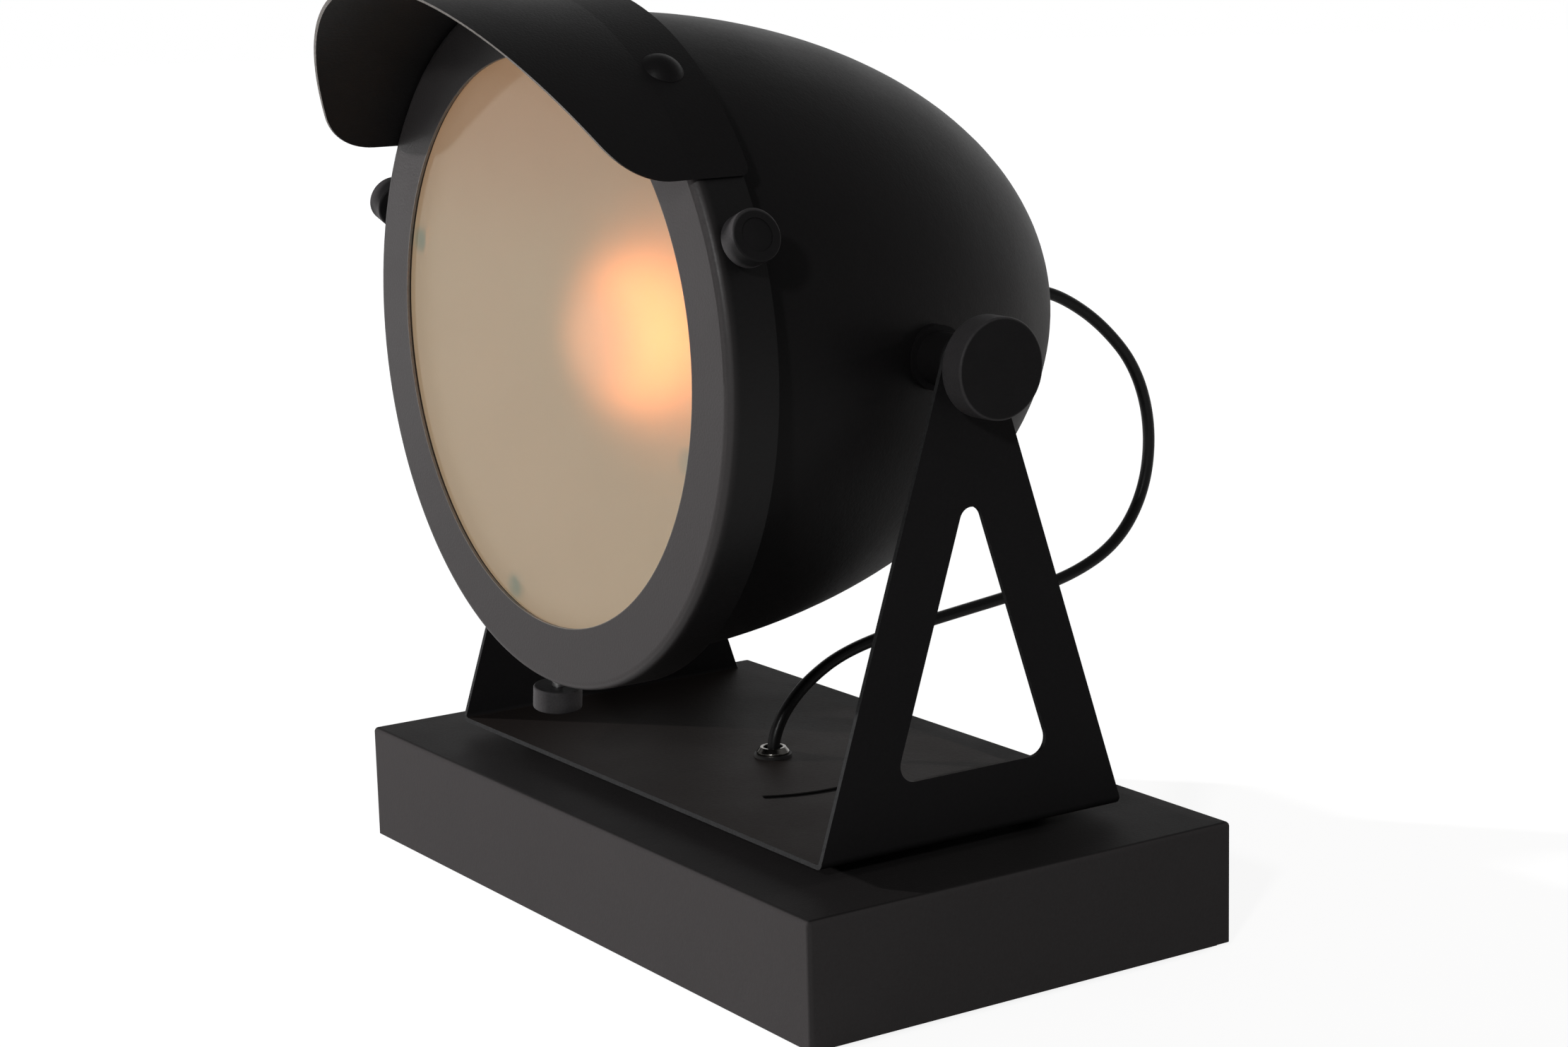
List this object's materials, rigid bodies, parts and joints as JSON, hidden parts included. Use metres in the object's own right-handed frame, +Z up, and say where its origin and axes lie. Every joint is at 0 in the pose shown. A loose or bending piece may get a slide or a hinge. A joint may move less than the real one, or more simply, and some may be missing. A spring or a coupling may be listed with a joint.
{
  "type": "tabletop searchlight lamp",
  "caption": "Tabletop searchlight lamp with a bullet-shaped shell, frosted round glass and visor, tilting between the triangular side plates of a yoke on a low rectangular base.",
  "frame": {"origin": "middle of the base pad's underside, on the table", "axes": "+X to the lamp's right, -Y out of the glass (the light's direction), +Z up"},
  "size_m": [0.36, 0.3903, 0.3973],
  "materials": {
    "black_paint": "satin fine-grained powder coat",
    "black_plastic": "matte",
    "holder_plastic": "matte",
    "terminal_plastic": "matte",
    "black_rubber": "matte",
    "pad_rubber": "matte",
    "cord_rubber": "satin",
    "nickel": "polished nickel plate",
    "screw_steel": "zinc plated",
    "cap_metal": "bright",
    "bulb_glass": "clear",
    "frosted_glass": "frosted"
  },
  "bodies": {
    "stand": {"anti_slip_pad": "pad_rubber", "base_housing": "black_paint", "base_bottom_plate": "black_paint", "bottom_plate_screws": "screw_steel", "inlet_bush": "black_rubber", "terminal_block": "terminal_plastic", "terminal_block_screw": "screw_steel", "base_lead": "cord_rubber", "yoke_bracket": "black_paint", "yoke_studs": "screw_steel", "yoke_standoffs": "black_paint", "yoke_nuts": "screw_steel", "collar_washer": "black_rubber", "cord_collar": "nickel", "collar_nut": "screw_steel", "right_knob_washer": "black_plastic", "left_knob_washer": "black_plastic"},
    "head": {"head_shell": "black_paint", "rear_gland": "black_plastic", "holder_tube": "screw_steel", "holder_tube_nut": "screw_steel", "lamp_holder": "holder_plastic", "holder_lead": "cord_rubber", "head_cord": "cord_rubber", "right_pivot_boss": "black_paint", "right_friction_washer": "black_plastic", "left_pivot_boss": "black_paint", "left_friction_washer": "black_plastic"},
    "right_knob": {"right_clamp_knob": "black_plastic", "right_clamp_stud": "screw_steel"},
    "left_knob": {"left_clamp_knob": "black_plastic", "left_clamp_stud": "screw_steel"},
    "bulb": {"bulb_cap": "cap_metal", "bulb_glass": "bulb_glass"},
    "bezel": {"bezel_ring": "black_paint", "glass_seal": "pad_rubber", "front_glass": "frosted_glass", "glass_clips": "screw_steel", "thumb_weld_nuts": "screw_steel", "visor": "black_paint", "visor_bolts": "black_paint", "visor_nuts": "screw_steel"},
    "right_thumb_screw": {"right_thumb_head": "black_plastic", "right_thumb_stud": "screw_steel"},
    "left_thumb_screw": {"left_thumb_head": "black_plastic", "left_thumb_stud": "screw_steel"},
    "lower_thumb_screw": {"lower_thumb_head": "black_plastic", "lower_thumb_stud": "screw_steel"}
  },
  "joints": [
    {"name": "head_tilt", "type": "hinge", "parent": "stand", "child": "head", "pos_m": [0, 0, 0.248], "axis": [-1, 0, 0], "range_deg": [-15, 45], "deforming": ["head_cord"]},
    {"name": "right_knob_turn", "type": "hinge", "parent": "head", "child": "right_knob", "pos_m": [0, 0, 0.248], "axis": [1, 0, 0], "continuous": true},
    {"name": "left_knob_turn", "type": "hinge", "parent": "head", "child": "left_knob", "pos_m": [0, 0, 0.248], "axis": [-1, 0, 0], "continuous": true},
    {"name": "bezel_slide", "type": "slide", "parent": "head", "child": "bezel", "axis": [0, -1, 0], "range_m": [0, 0.024]},
    {"name": "bulb_turn", "type": "hinge", "parent": "head", "child": "bulb", "pos_m": [0, -0.1078, 0.2508], "axis": [0, -1, 0], "continuous": true},
    {"name": "right_thumb_turn", "type": "hinge", "parent": "bezel", "child": "right_thumb_screw", "pos_m": [0, -0.0968, 0.2508], "axis": [0.9373, 0, 0.3486], "continuous": true},
    {"name": "left_thumb_turn", "type": "hinge", "parent": "bezel", "child": "left_thumb_screw", "pos_m": [0, -0.0968, 0.2508], "axis": [-0.95, 0, 0.3123], "continuous": true},
    {"name": "lower_thumb_turn", "type": "hinge", "parent": "bezel", "child": "lower_thumb_screw", "pos_m": [0, -0.0968, 0.2508], "axis": [-0.1045, 0, -0.9945], "continuous": true}
  ]
}
